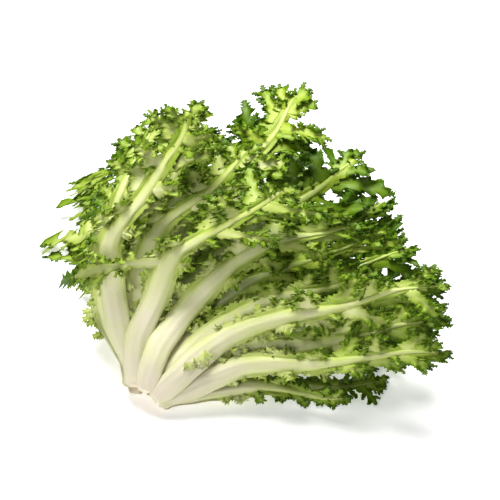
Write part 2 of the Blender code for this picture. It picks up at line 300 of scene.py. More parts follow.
# A pale small leaf that crosses the ribs on the left
CROSSING_LEAF = (0.88, -34)
CROSSING_SHARE = 0.40
CROSSING_LENGTH = 0.064
CROSSING_ROOT = 0.0066
CROSSING_YAW = 1.72
CROSSING_TILT = 0.40
CROSSING_CURL = -0.20
CROSSING_GREEN = 0.30
CROSSING_LEAFLETS = 14
CROSSING_CLAWS = 7
CROSSING_SMOOTH_TO = 0.35
CROSSING_WIDTHS = ((0, 0.35), (0.1, 0.55), (0.35, 0.55), (0.6, 1.25), (0.85, 1.15), (1.0, 0.04))

# A stray sprig that lies on a rib low down, as (yaw, size) of its leaflets
STRAY_LEAF = (0.88, 11)
STRAY_SHARE = 0.12
STRAY_ASIDE = 0.002
STRAY_CLEAR = 0.0015
STRAY_TILT = 0.10
STRAY_GREEN = 0.30
STRAY_LEAFLETS = ((0.1, 0.015), (0.7, 0.010), (-2.6, 0.009))

# Stump
STUMP_ROUND = 0.0018
STUMP_SIDES = 96
STUMP_DOME_STEPS = 12
STUMP_ROUND_STEPS = 5
STUMP_FACE_STEPS = 8
STUMP_CUT = 0.004  # from the rim down to the cut face
STUMP_MIDDLE = 0.0002
STUMP_RIPPLE = 0.000125
STUMP_FACE_DEPTH = 0.0001
STUMP_RIPPLES = ((9, 0.4, 1), (17, 2, 0.6))  # how many round it, phase and share
STUMP_FLOOR_GAP = 0.0002
CUT_COLOUR = (206, 172, 128)
RIND_COLOUR = (236, 224, 204)
STUMP_ROUGHNESS = 0.6

# Leaf finish: display colours by greenness
OUTER_STOPS = (
    (0.0, (236, 227, 206)),
    (0.12, (230, 226, 194)),
    (0.28, (222, 226, 170)),
    (0.45, (202, 214, 124)),
    (0.62, (168, 192, 72)),
    (0.80, (128, 160, 30)),
    (1.0, (86, 122, 8)),
)
INNER_STOPS = (
    (0.0, (240, 232, 210)),
    (0.12, (236, 232, 194)),
    (0.28, (220, 229, 168)),
    (0.45, (204, 221, 118)),
    (0.62, (184, 205, 72)),
    (0.80, (138, 170, 36)),
    (1.0, (94, 132, 12)),
)
LEAF_ROUGHNESS = 0.42
LEAF_SPECULAR = 0.42
BLADE_GLOW = 0.20  # how much light comes through a blade
FLESH_GLOW = 0.08  # and through flesh
FLESH_FULL = 0.5
BLOTCH_SCALE = 55
BLOTCH_DETAIL = 4
BLOTCH_TONE = 0.35
LIGHT_TONE = 0.10
# Streaks: how many to the metre along and across, how they differ by shell, and how much they change the tone
STREAK_PACES = (45, 900, 0.37)
STREAK_DETAIL = 2
STREAK_TONE = 0.16
GRAIN_SCALE = 420
GRAIN_DETAIL = 3
BUMP_STRENGTH = 0.35
BUMP_DISTANCE = 0.0006

# Floor, light and camera
FLOOR_SIDE = 60
FLOOR_COLOUR = (0.85, 0.85, 0.85)
FLOOR_ROUGHNESS = 0.8
FLOOR_GLOW = 0.47  # keeps its shadows light
WORLD_STRENGTH = 0.05
# Each light's name, place, the point it faces, size and watts
LIGHTS = (
    ("softbox", (-0.14, 0.34, 1.7), (0, 0, 0.05), 1.0, 44),
    ("fill", (-0.7, -1.2, 0.9), (-0.02, -0.05, 0.05), 0.9, 8),
)
TARGET_FROM_APEX = np.array((0.0750, 0.0964, 0.0557))
CAMERA_DISTANCE = 1.15
CAMERA_ANGLE = math.radians(16.8)
PICTURE_GAMMA = 0.83  # under 1, it deepens the shadows between the leaves

SEED = 11


def lookup(table, at):
    return np.interp(at, [row[0] for row in table], [row[1] for row in table])


def eased(low, high, at):
    share = np.clip((at - low) / (high - low), 0, 1)
    return share * share * (3 - 2 * share)


AXIS = np.array(
    (
        math.cos(AXIS_LIFT) * math.sin(AXIS_TURN),
        math.cos(AXIS_LIFT) * math.cos(AXIS_TURN),
        math.sin(AXIS_LIFT),
    )
)
VIEWER = np.array((0, -math.cos(VIEW_LIFT), math.sin(VIEW_LIFT)))
FRONT = VIEWER - AXIS * VIEWER.dot(AXIS)
FRONT /= np.linalg.norm(FRONT)
ACROSS = np.cross(AXIS, FRONT)


def rise_limits(fan):
    """The head's highest and lowest angle at these places across the fan, in degrees."""
    front = FRONT_RISE * np.sqrt(np.maximum(1 - (fan / FAN_HALF) ** 2, EDGE_RISE))
    middle, slope, curve = BACK_RISE
    return front, middle + slope * fan + curve * fan * fan


def spread(distance):
    left = 1 - np.clip((distance - SPREAD_FROM) / (SPREAD_FULL_AT - SPREAD_FROM), 0, 1)
    return 1 - (1 - SPREAD_AT_STUMP) * left * left


def leant(distance, fan, level):
    left, right = LEAN_ACROSS
    share = np.minimum((right - fan) / (right - left), 1)
    share = share * (LEAN_LOWEST + (1 - LEAN_LOWEST) * eased(*LEAN_LEVELS, level))
    reached = np.clip((distance - LEAN_FROM) / (LEAN_FULL_AT - LEAN_FROM), 0, 1)
    return fan + LEAN * share * np.sin(reached * math.pi / 2)


def waved(points, share):
    turn = 2 * math.pi / WAVE_LENGTH
    moved = points.copy()
    for axis, (main, cross, pace) in enumerate(WAVE_PHASES):
        along_next = np.sin(turn * points[:, (axis + 1) % 3] + main)
        along_last = np.sin(turn * pace * points[:, (axis + 2) % 3] + cross)
        moved[:, axis] += WAVE * share * (along_next + CROSS_WAVE * along_last)
    return moved


def settled(height):
    """The heights once the head lies on the surface: nothing below it, and the top sagging."""
    height = np.where(height > SAG_FROM, SAG_FROM + (height - SAG_FROM) * SAG_SLOPE, height)
    ratio = (height - FLOOR_GAP) / FLOOR_SOFTNESS
    return FLOOR_GAP + FLOOR_SOFTNESS * np.logaddexp(0, ratio)


def head_points(distance, fan, level, push_up=0, push_across=0):
    """Points of the head from their distance from the apex, degrees across the fan, and level."""
    fan = leant(distance, fan, level)
    front, back = rise_limits(fan)
    opened = spread(distance)
    up = ((front + back) / 2 + level * (front - back) / 2) * opened + push_up
    across = fan * opened + push_across
    turned = np.maximum(np.hypot(up, across), 1e-9)
    angle = np.radians(turned)[:, None]
    side = ((up / turned)[:, None] * FRONT) + ((across / turned)[:, None] * ACROSS)
    direction = AXIS * np.cos(angle) + side * np.sin(angle)
    points = direction * distance[:, None]
    points = waved(points, eased(WAVE_FROM, WAVE_FULL_AT, distance)) + APEX
    points[:, 2] = settled(points[:, 2])
    return points


def stump_reach(degrees):
    share = np.clip(degrees / STUMP_HALF_ANGLE, 0, 1)
    return STUMP_TOP - (STUMP_TOP - STUMP_RIM) * share * share


class Leaf:
    """One leaf's place in the head, and its own flat space: along, aside and lift, in metres."""

    def __init__(self, name, level, level_half, fan, length, half_width, pairs):
        self.name = name
        self.level = level
        self.level_half = level_half
        self.fan = fan
        self.length = length
        self.half_width = half_width
        self.pairs = pairs
        self.rng = random.Random(f"{SEED} {name}")
        self.sway = self.rng.uniform(0, 2 * math.pi)
        front, back = rise_limits(fan)
        rise = (front + back) / 2 + level * (front - back) / 2
        self.per_level = math.radians((front - back) / 2)
        root_angle = math.hypot(rise, fan) * SPREAD_AT_STUMP
        self.start = float(stump_reach(root_angle - BASE_TILT))
        self.outward = 1 if level > 0 else -1
        # How far the base is pushed out on the stump, in degrees up and across
        outer = leaf_kind(level, fan) == "outer"
        clasp = CLASP_ANGLES.get(level, CLASP_SIDE_ANGLE) if outer else root_angle
        root = np.array((rise, fan)) * SPREAD_AT_STUMP
        base = np.array(BASE_PLACES.get((level, fan), root * max(clasp / root_angle, 1)))
        self.push = base - root
        self.least_distance = CLASP_DISTANCE if self.push.any() else LEAST_DISTANCE

    def opened(self, along):
        distance = self.start + along
        return distance * spread(distance)

    def room(self, along):
        """Half the thickness of the leaf's own layer, in metres."""
        return self.per_level * self.level_half * self.opened(along)

    def rib_half_width(self, share):
        room = math.radians(self.half_width) * self.opened(share * self.length)
        width = lookup(RIB_HALF_WIDTHS, share)
        if self.level > FRONT_LEVEL:
            width = width * (1 + (FRONT_RIB - 1) * eased(*FRONT_RIB_RISE, np.asarray(share)))
        if self.level < BACK_LEVEL:
            width = width * BACK_RIB
        return np.minimum(width, room * lookup(WIDTH_FILLS, share))

    def rib_depth(self, share):
        return np.minimum(lookup(RIB_DEPTHS, share), 2 * self.room(share * self.length) * DEPTH_FILL)

    def in_head(self, points):
        along, aside, lift = points.T
        share = np.clip(along / self.length, 0, 1)
        aside = aside + SWAY * share * np.sin(SWAY_TURN * share + self.sway)
        reached = self.start + along
        distance = np.maximum(reached, self.least_distance)
        opened = distance * spread(distance)
        fan = self.fan + np.degrees(aside / opened)
        level = self.level + lift / (self.per_level * opened)
        near = 1 - eased(-RIB_SUNK, CLASP_END, along)
        placed = head_points(distance, fan, level, self.push[0] * near, self.push[1] * near)
        return placed if self.least_distance < CLASP_DISTANCE else self.heeled(placed, reached)

    def heeled(self, points, reached):
        """The base run on past the stump's rim, turning in under it."""
        past = np.clip(self.least_distance - reached, 0, None)
        turn = HEEL_TURN * past / (RIB_SUNK + self.least_distance - self.start)
        down = HEEL_DROP * np.sin(turn)
        inward = HEEL_DROP * (1 - np.cos(turn))
        from_apex = points - APEX
        radial = from_apex - (from_apex @ AXIS)[:, None] * AXIS
        radial /= np.maximum(np.linalg.norm(radial, axis=1, keepdims=True), 1e-9)
        moved = points - down[:, None] * AXIS - inward[:, None] * radial
        moved[:, 2] = np.maximum(moved[:, 2], FLOOR_GAP)
        return moved


class Skin:
    """Closed thin shells in one mesh, with a tone at each point: how green, how fleshy, how light."""

    def __init__(self):
        self.points = []
        self.tones = []
        self.grains = []
        self.quads = []
        self.count = 0

    def add(self, grid, thickness, tones, upper_share=0.5):
        """A grid of points thickened on both sides and closed round its rim."""
        rows, columns, _ = grid.shape
        down = np.gradient(grid, axis=0)
        across = np.gradient(grid, axis=1)
        normal = np.cross(down, across)
        normal /= np.maximum(np.linalg.norm(normal, axis=2, keepdims=True), 1e-12)
        upper = grid + normal * (thickness * upper_share)[..., None]
        lower = grid - normal * (thickness * (1 - upper_share))[..., None]
        size = rows * columns
        index = np.arange(size).reshape(rows, columns) + self.count
        quad = np.stack([index[:-1, :-1], index[1:, :-1], index[1:, 1:], index[:-1, 1:]], axis=-1)
        quad = quad.reshape(-1, 4)
        rim = np.concatenate([index[:-1, 0], index[-1, :-1], index[:0:-1, -1], index[0, :0:-1]])
        following = np.roll(rim, -1)
        sides = np.stack([rim, rim + size, following + size, following], axis=-1)
        self.quads += [quad, quad[:, ::-1] + size, sides]
        self.points += [upper.reshape(-1, 3), lower.reshape(-1, 3)]
        tones = np.broadcast_to(tones, (rows, columns, 3)).reshape(-1, 3)
        self.tones += [tones, tones]
        self.grains += [self.grain_of(grid)] * 2
        self.count += 2 * size

    def grain_of(self, grid):
        """For the streaks: how far each point is along the shell and aside, and the shell's own number."""
        rows, columns, _ = grid.shape
        middle = columns // 2
        along = np.concatenate([[0], np.cumsum(np.linalg.norm(np.diff(grid[:, middle], axis=0), axis=1))])
        steps = np.concatenate([np.zeros((rows, 1)), np.linalg.norm(np.diff(grid, axis=1), axis=2)], axis=1)
        aside = np.cumsum(steps, axis=1)
        aside = aside - aside[:, middle : middle + 1]
        along = np.broadcast_to(along[:, None], aside.shape)
        return np.stack([along, aside, np.full_like(aside, self.count)], axis=-1).reshape(-1, 3)

    def piece(self, name, material, place):
        """The object that the shells make, once place has put their points in the head."""
        mesh = bpy.data.meshes.new(name)
        points = place(np.concatenate(self.points))
        quads = np.concatenate(self.quads)
        mesh.vertices.add(len(points))
        mesh.vertices.foreach_set("co", points.astype(np.float32).ravel())
        mesh.loops.add(quads.size)
        mesh.loops.foreach_set("vertex_index", quads.astype(np.int32).ravel())
        mesh.polygons.add(len(quads))
        mesh.polygons.foreach_set("loop_start", np.arange(0, quads.size, 4, dtype=np.int32))
        mesh.polygons.foreach_set("loop_total", np.full(len(quads), 4, dtype=np.int32))
        mesh.update(calc_edges=True)
        tone = mesh.attributes.new("tone", "FLOAT_VECTOR", "POINT")
        tone.data.foreach_set("vector", np.concatenate(self.tones).astype(np.float32).ravel())
        grain = mesh.attributes.new("grain", "FLOAT_VECTOR", "POINT")
        grain.data.foreach_set("vector", np.concatenate(self.grains).astype(np.float32).ravel())
        mesh.shade_smooth()
        mesh.materials.append(material)
        obj = bpy.data.objects.new(name, mesh)
        bpy.context.scene.collection.objects.link(obj)
        return obj


def curled_line(root, forward, up, length, bend, curl, rows):
    """Points along a line that bends aside and curls up, with its sideways and upward directions."""
    share = np.linspace(0, 1, rows)[:, None]
    side = np.cross(up, forward)
    turned = forward * np.cos(bend * share) + side * np.sin(bend * share)
    heading = turned * np.cos(curl * share) + up * np.sin(curl * share)
    upward = up * np.cos(curl * share) - turned * np.sin(curl * share)
    steps = (heading[1:] + heading[:-1]) / 2 * (length / (rows - 1))
    points = root + np.concatenate([np.zeros((1, 3)), np.cumsum(steps, axis=0)])
    return points, np.cross(upward, heading), upward


def add_rib(skin, leaf):
    """The rib, rounded outward, with the narrow toothed webs at its sides."""
    rng = leaf.rng
    share = np.linspace(-RIB_SUNK / leaf.length, RIB_END, RIB_ROWS)
    inside = np.clip(share, 0, 1)
    along = inside * leaf.length
    half = leaf.rib_half_width(inside)
    # The lowest end is rounded off
    from_end = (share - share[0]) * leaf.length / RIB_ROUND_END
    rounded = np.sqrt(np.clip(1 - (1 - np.clip(from_end, RIB_LEAST_END, 1)) ** 2, 0, 1))
    half = half * (RIB_BLUNT + (1 - RIB_BLUNT) * rounded)
    depth = leaf.rib_depth(inside) * rounded
    web = lookup(WEB_WIDTHS, inside)
    teeth = np.where(np.arange(RIB_ROWS) % 2, 1.0, 1 - lookup(WEB_TEETH, inside))
    middle, swelling, swell_pace = WEB_SWELL
    swell = middle + swelling * np.sin(along / swell_pace + rng.uniform(*RIB_PHASES))
    across = np.linspace(-1, 1, RIB_COLUMNS)
    across = np.sign(across) * np.abs(across) ** COLUMN_GATHER
    offset = across[None, :] * (half + web)[:, None]
    margin = np.abs(across)[None, :] > WEB_MARGIN
    reach = web / (half + web) * (swell * teeth - WEB_TRIM)
    offset = np.where(margin, offset * (1 + reach[:, None]), offset)
    flesh = np.clip(1 - (np.abs(offset) / (half[:, None] * FLESH_PAST)) ** 2, 0, 1) ** FLESH_SHAPE
    ridges = 1 + RIDGES * np.cos(across * RIDGE_PACE + rng.uniform(*RIB_PHASES))[None, :]
    web_thickness = WEB_THICKNESS * (WEB_BLUNT + (1 - WEB_BLUNT) * rounded[:, None])
    thickness = web_thickness + depth[:, None] * flesh * ridges
    lift, curl_pace = WEB_CURL
    curl = lift * np.sin(along / curl_pace + rng.uniform(*RIB_PHASES))[:, None] * np.sign(across)[None, :]
    grid = np.zeros((RIB_ROWS, RIB_COLUMNS, 3))
    grid[..., 0] = (share * leaf.length)[:, None]
    grid[..., 1] = offset
    grid[..., 2] = np.where(flesh > 0, 0, curl * web[:, None])
    low, further_up = WEB_GREEN
    edge = (1 - flesh) * (low + further_up * eased(*WEB_GREEN_RISE, inside)[:, None])
    green = np.clip(lookup(RIB_GREENNESS, inside)[:, None] + edge, 0, 1)
    tones = np.stack([green, flesh, np.zeros_like(green)], axis=-1)
    upper = OUTWARD_BULGE if leaf.outward > 0 else 1 - OUTWARD_BULGE
    skin.add(grid, thickness, tones, upper)


def add_leaflet(skin, rng, root, forward, up, length, half_width, green):
    """A small spiny leaflet on a lobe's edge, curled one way or the other."""
    curl = rng.uniform(*LEAFLET_CURLS)
    bend = rng.uniform(*LEAFLET_BENDS)
    points, side, upward = curled_line(root, forward, up, length, bend, curl, LEAFLET_ROWS)
    heading = np.gradient(points, axis=0)
    across = np.linspace(-1, 1, LEAFLET_COLUMNS)
    outer = np.abs(across)[None, :, None]
    widths = np.array(LEAFLET_WIDTHS)[:, None, None] * half_width
    lean = np.array(TOOTH_LEAN)[:, None, None] * (LEAFLET_ROWS - 1)
    cup = rng.uniform(*LEAFLET_CUPS)
    ruffle = np.sin(np.arange(LEAFLET_ROWS) * LEAFLET_RUFFLE_PACE + rng.uniform(*PHASES))[:, None, None]
    ruffle = ruffle * np.sign(across)[None, :, None]
    grid = points[:, None, :] + side[:, None, :] * across[None, :, None] * widths
    grid = grid + upward[:, None, :] * (cup * outer**2 + LEAFLET_RUFFLE * ruffle * outer**2) * widths
    grid = grid + heading[:, None, :] * lean * outer**2
    margin = np.abs(across)[None, :] ** 2
    tip = np.linspace(0, 1, LEAFLET_ROWS)[:, None]
    deep = np.clip(green + LEAFLET_EDGE_GREENER * margin + LEAFLET_TIP_GREENER * tip, 0, 1)
    light = np.full_like(deep, rng.uniform(*LEAFLET_LIGHTS))
    thickness = np.broadcast_to(BLADE + (EDGE - BLADE) * margin, deep.shape)
    skin.add(grid, thickness, np.stack([deep, np.zeros_like(deep), light], axis=-1))


def directions(yaw, tilt, side=1):
    """Forward and up for what grows at this yaw from the rib and this tilt from the leaf's plane."""
    forward = (math.cos(yaw) * math.cos(tilt), side * math.sin(yaw) * math.cos(tilt), math.sin(tilt))
    up = (-math.cos(yaw) * math.sin(tilt), -side * math.sin(yaw) * math.sin(tilt), math.cos(tilt))
    return np.array(forward), np.array(up)


def clawed_widths(along, across, claws, phase, smooth_to):
    """The share of a lobe's width that its claws leave, set apart on its two sides, with teeth by rows."""
    outer = np.abs(across)
    cut = np.zeros((len(along), len(across)))
    for hand in (-1, 1):
        claw = np.abs(np.sin(math.pi * claws * along + phase + hand * CLAW_PHASE)) ** CLAW_SHAPE
        claw = 1 - (1 - claw) * CLAW_DEPTH * eased(smooth_to - SMOOTH_FADE, smooth_to, along)
        even_rows, odd_rows = TOOTH_ROWS
        claw = claw * np.where(np.arange(len(along)) % 2, odd_rows, even_rows)
        column = hand * across > 0
        cut[:, column] = 1 + (claw[:, None] - 1) * (outer[column] ** CLAW_EDGE)[None, :]
    cut[:, len(across) // 2] = 1
    return cut


def add_lobe(skin, leaf, side, share, length, root_width, yaw, tilt, curl, green, leaflets, claws,
             rows=LOBE_ROWS, outline=LOBE_WIDTHS, smooth_to=SMOOTH_TO):
    """A side arm: a web that flares out of the rib, deep swept claws with teeth, and curled leaflets."""
    rng = leaf.rng
    half = float(leaf.rib_half_width(share))
    root = np.array((share * leaf.length - 0.5 * root_width, side * half * LOBE_ROOT, 0.0))
    forward, up = directions(yaw, tilt, side)
    bend = side * rng.uniform(*LOBE_BENDS)
    points, aside, upward = curled_line(root, forward, up, length, bend, curl, rows)
    heading = np.gradient(points, axis=0)
    heading /= np.linalg.norm(heading, axis=1, keepdims=True)
    along = np.linspace(0, 1, rows)
    across = np.linspace(-1, 1, LOBE_COLUMNS)
    outer = np.abs(across)
    phase = rng.uniform(*PHASES)
    cut = clawed_widths(along, across, claws, phase, smooth_to)
    widths = lookup(outline, along) * root_width
    ruffle = np.sin(math.pi * claws * RUFFLE_PACE * along + phase)[:, None] * np.sign(across)[None, :]
    amount = rng.uniform(*RUFFLES) * eased(*RUFFLE_RISE, along)[:, None]
    cup = CUP * eased(*CUP_RISE, along)[:, None]
    lift = (cup + amount * ruffle) * (outer**2)[None, :] * widths[:, None]
    swept = SWEPT * eased(*SWEPT_RISE, along)[:, None] * (outer**SWEPT_SHAPE)[None, :] * widths[:, None] * cut
    grid = points[:, None, :] + aside[:, None, :] * (across[None, :] * widths[:, None] * cut)[..., None]
    grid = grid + upward[:, None, :] * lift[..., None] + heading[:, None, :] * swept[..., None]
    # Beside the rib a lobe stays behind its rounded front
    past_rib = np.maximum(side * grid[..., 1] - ROOT_SHARE * half, 0)
    grid[..., 2] = np.minimum(grid[..., 2], ROOT_RISE * past_rib - ROOT_DEPTH)
    towards_tip = TIP_GREENER * along[:, None] * (TIP_MIDDLE + (1 - TIP_MIDDLE) * outer)[None, :]
    deep = np.clip(green + towards_tip + EDGE_GREENER * (outer**2)[None, :], 0, 1)
    flesh = np.clip(1 - along * LOBE_FLESH, 0, 1)[:, None] * (1 - outer)[None, :]
    light = np.full_like(deep, rng.uniform(*LOBE_LIGHTS))
    thickness = BLADE * (1 + FLESH_THICKER * flesh) + (EDGE - BLADE) * (outer**2)[None, :]
    skin.add(grid, thickness, np.stack([deep, flesh, light], axis=-1))
    for number in range(leaflets):
        place = number + rng.uniform(*LEAFLET_JITTER)
        out = smooth_to - LEAFLETS_FROM + (LEAFLETS_TO - smooth_to) * place / leaflets
        row = min(max(int(round(out * (rows - 1))), 0), rows - 1)
        for hand in (-1, 1):
            spread_out = math.radians(rng.uniform(*LEAFLET_SPREADS)) * (1 - LEAFLET_NARROWING * out)
            flat = heading[row] * math.cos(spread_out) + hand * aside[row] * math.sin(spread_out)
            rise = rng.uniform(*LEAFLET_RISES)
            direction = flat * math.cos(rise) + upward[row] * math.sin(rise)
            above = upward[row] * math.cos(rise) - flat * math.sin(rise)
            column = LOBE_COLUMNS // 2 + hand * (LOBE_COLUMNS // 2 - 1)
            size = min(length * rng.uniform(*LEAFLET_SHARES), rng.uniform(*LEAFLET_SIZES))
            half_width = size * rng.uniform(*LEAFLET_HALVES)
            tone = float(deep[row, column]) + LEAFLET_GREENER
            add_leaflet(skin, rng, grid[row, column], direction, above, size, half_width, tone)
    end_length, end_half = END_LEAFLET
    add_leaflet(skin, rng, points[-2], heading[-1], upward[-1], length * end_length, length * end_half,
                float(deep[-1, 0]))


def add_lobes(skin, leaf, green):
    """The side arms up both sides of the leaf, the small ones between them and the end lobe."""
    rng = leaf.rng
    fine = leaf.level > FINE_LEVEL
    step = (LOBE_END - STALK_END) / leaf.pairs
    for number in range(leaf.pairs):
        for side in (-1, 1):
            share = STALK_END + step * (number + 0.5) + rng.uniform(*LOBE_JITTER) * step
            widest = math.radians(leaf.half_width) * leaf.opened(share * leaf.length)
            base = float(leaf.rib_half_width(share))
            reach = widest * float(lookup(LOBE_REACHES, share)) * rng.uniform(*LOBE_LENGTHS) - base
            length = max(reach, LEAST_REACH) / math.sin(math.pi / 2 - LOBE_SWEEP) * LOBE_OVERRUN
            room = float(leaf.room(share * leaf.length))
            upward = 1 if (number + (side > 0)) % 2 else -1
            tilt = upward * math.atan2(min(room, length * ROOM_SHARE), length) * rng.uniform(*LOBE_TILTS)
            yaw = math.pi / 2 - LOBE_SWEEP + rng.uniform(*LOBE_YAWS)
            tone = green + UPWARD_GREENER * number / leaf.pairs
            spring = -tilt * rng.uniform(*LOBE_SPRINGS)
            if leaf.level > FRONT_LEVEL:
                root = step * leaf.length * ARM_ROOT
                add_lobe(skin, leaf, side, share, length, root, yaw, tilt, spring, tone - ARM_PALER,
                         ARM_LEAFLETS, ARM_CLAWS, LOBE_ROWS, ARM_WIDTHS, ARM_SMOOTH_TO)
            else:
                root = step * leaf.length * LOBE_ROOT_WIDTH
                leaflets, rows = FINE_LOBE if fine else COARSE_LOBE
                add_lobe(skin, leaf, side, share, length, root, yaw, tilt, spring, tone,
                         leaflets, LOBE_CLAWS, rows)
            # A smaller one in between, leaning the other way
            share += step / 2
            if share > LAST_SMALL_LOBE:
                continue
            leaflets, rows = FINE_SMALL_LOBE if fine else COARSE_SMALL_LOBE
            add_lobe(skin, leaf, side, share, length * rng.uniform(*SMALL_LOBE_LENGTHS),
                     step * leaf.length * SMALL_LOBE_ROOT, yaw + SMALL_LOBE_TURN, -tilt * SMALL_LOBE_TILT,
                     rng.uniform(*SMALL_LOBE_CURLS), tone + SMALL_LOBE_GREENER,
                     leaflets, SMALL_LOBE_CLAWS, rows)
    add_leaf_end(skin, leaf, green + END_GREENER)


def add_leaf_end(skin, leaf, green):
    """The leaf's last stretch: three toothed lobes that part like fingers."""
    rng = leaf.rng
    tip = (1 - LOBE_END) * leaf.length
    turn = rng.uniform(*END_TURNS)
    for side, yaw, turned, reach in END_LOBES:
        add_lobe(skin, leaf, side, LOBE_END, tip * reach * END_LENGTH, tip * END_ROOT, yaw + turned * turn,
                 rng.uniform(*END_TILTS), rng.uniform(*END_CURLS), green, END_LEAFLETS, END_CLAWS)


def add_stalk_frills(skin, leaf):
    """Small spiny leaflets up the sides of the stalk, lower down on the leaves of the heart."""
    rng = leaf.rng
    kind = leaf_kind(leaf.level, leaf.fan)
    for side in (-1, 1):
        share = STALK_FRILLS_FROM[kind] + rng.uniform(*STALK_FRILL_JITTER)
        while share < STALK_END:
            aside = side * float(leaf.rib_half_width(share)) * STALK_FRILLS_OUT
            yaw = rng.uniform(*STALK_FRILL_YAWS)
            tilt = rng.uniform(*STALK_FRILL_TILTS)
            size = rng.uniform(*STALK_FRILLS[kind]) * (0.5 + share / STALK_END / 2)
            behind = -STALK_FRILLS_BEHIND * float(leaf.rib_depth(share))
            green = STALK_FRILL_GREEN[kind]
            add_loose_leaflet(skin, leaf, share, aside, behind, side * yaw, tilt, size, green)
            share += rng.uniform(*STALK_FRILLS_APART[kind])


def add_loose_leaflet(skin, leaf, share, aside, lift, yaw, tilt, size, green):
    """One leaflet at a place on the leaf: yaw turns it from the rib's direction, tilt raises it."""
    root = np.array((share * leaf.length, aside, lift))
    forward, up = directions(yaw, tilt)
    half = size * leaf.rng.uniform(*LOOSE_LEAFLET_HALVES)
    add_leaflet(skin, leaf.rng, root, forward, up, size, half, green)


def add_small_leaves(skin, leaf):
    """Small leaves that show in front of the ribs: a pale one across the left, and a stray one low down."""
    if (leaf.level, leaf.fan) == CROSSING_LEAF:
        add_lobe(skin, leaf, -1, CROSSING_SHARE, CROSSING_LENGTH, CROSSING_ROOT, CROSSING_YAW, CROSSING_TILT,
                 CROSSING_CURL, CROSSING_GREEN, CROSSING_LEAFLETS, CROSSING_CLAWS, LOBE_ROWS,
                 CROSSING_WIDTHS, CROSSING_SMOOTH_TO)
    if (leaf.level, leaf.fan) == STRAY_LEAF:
        front = float(leaf.rib_depth(STRAY_SHARE)) * OUTWARD_BULGE + STRAY_CLEAR
        for yaw, size in STRAY_LEAFLETS:
            add_loose_leaflet(skin, leaf, STRAY_SHARE, STRAY_ASIDE, front, yaw, STRAY_TILT, size, STRAY_GREEN)


def stump_profile():
    """The stump's outline as (radius, height) from the middle of the cut face to the top of the dome."""
    steps = range(STUMP_DOME_STEPS, -1, -1)
    domed = [math.radians(STUMP_HALF_ANGLE) * number / STUMP_DOME_STEPS for number in steps]
    reaches = [stump_reach(math.degrees(at)) for at in domed]
    dome = [(reach * math.sin(at), reach * math.cos(at)) for reach, at in zip(reaches, domed)]
    rim_radius, rim_height = dome[0]
    cut = rim_height - STUMP_CUT
    rounding = []
    for number in range(STUMP_ROUND_STEPS + 1):
        turn = math.pi / 2 * number / STUMP_ROUND_STEPS
        radius = rim_radius - STUMP_ROUND * (1 - math.sin(turn))
        rounding.append((radius, cut + STUMP_ROUND * (1 - math.cos(turn))))
    face = []
    for number in range(STUMP_FACE_STEPS):
        radius = STUMP_MIDDLE + (rim_radius - STUMP_ROUND) * number / STUMP_FACE_STEPS
        face.append((radius, cut))
    return np.array(face + rounding + dome[:-1] + [(STUMP_MIDDLE, dome[-1][1])]), rim_radius, cut


def make_stump():
    """The cut stem that the leaves stand on, turned about the head's axis."""
    rows, rim_radius, cut = stump_profile()
    around = np.linspace(0, 2 * math.pi, STUMP_SIDES, endpoint=False)
    waves = [share * np.sin(around * turns + phase) for turns, phase, share in STUMP_RIPPLES]
    ripple = STUMP_RIPPLE * sum(waves)
    radius = rows[:, None, 0] + ripple[None, :] * (rows[:, None, 0] > rim_radius / 2)
    height = np.broadcast_to(rows[:, None, 1], radius.shape)
    turned = FRONT * np.cos(around)[:, None] + ACROSS * np.sin(around)[:, None]
    points = APEX + radius[..., None] * turned[None] + height[..., None] * AXIS
    points[..., 2] = np.maximum(points[..., 2], STUMP_FLOOR_GAP)
    count = len(rows)
    index = np.arange(count * STUMP_SIDES).reshape(count, STUMP_SIDES).tolist()
    faces = []
    for row in range(count - 1):
        for side in range(STUMP_SIDES):
            after = (side + 1) % STUMP_SIDES
            faces.append([index[row][side], index[row][after], index[row + 1][after], index[row + 1][side]])
    faces.append(index[0][::-1])
    faces.append(index[-1])
    mesh = bpy.data.meshes.new("cut_stump")
    mesh.from_pydata([tuple(point) for point in points.reshape(-1, 3)], [], faces)
    mesh.shade_smooth()
    on_face = (rows[:, 1] < cut + STUMP_FACE_DEPTH).astype(float)
    tone = mesh.attributes.new("tone", "FLOAT_VECTOR", "POINT")
    tones = np.zeros((count, STUMP_SIDES, 3))
    tones[..., 0] = (1 - on_face)[:, None]
    tone.data.foreach_set("vector", tones.astype(np.float32).ravel())
    mesh.materials.append(stump_material())
    stump = bpy.data.objects.new("cut_stump", mesh)
    bpy.context.scene.collection.objects.link(stump)
    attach(stump, "root")
    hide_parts("crown")


class Shading:
    """A material's node tree, with short ways to add nodes and join them."""

    def __init__(self, name):
        self.material = bpy.data.materials.new(name)
        self.material.use_nodes = True
        self.nodes = self.material.node_tree.nodes
        self.links = self.material.node_tree.links

    def node(self, kind, **values):
        """A node with these inputs: a socket is joined to its input, and any other value is set."""
        added = self.nodes.new(f"ShaderNode{kind}")
        for name, value in values.items():
            self.put(added, name.replace("_", " "), value)
        return added

    def put(self, node, name, value):
        if isinstance(value, bpy.types.NodeSocket):
            self.links.new(value, node.inputs[name])
        else:
            node.inputs[name].default_value = value

    def math(self, operation, *values, kind="Math"):
        added = self.nodes.new(f"ShaderNode{kind}")
        added.operation = operation
        for number, value in enumerate(values):
            self.put(added, number, value)
        return added.outputs[0]

    def attribute(self, name):
        added = self.nodes.new("ShaderNodeAttribute")
        added.attribute_name = name
        return added.outputs["Vector"]

    def ramp(self, stops, at):
        """A colour ramp of display colours."""
        added = self.node("ValToRGB", Fac=at)
        elements = added.color_ramp.elements
        while len(elements) > 1:
            elements.remove(elements[-1])
        for number, (position, colour) in enumerate(stops):
            stop = elements[0] if number == 0 else elements.new(position)
            stop.position = position
            stop.color = (*linear(colour), 1)
        return added.outputs["Color"]


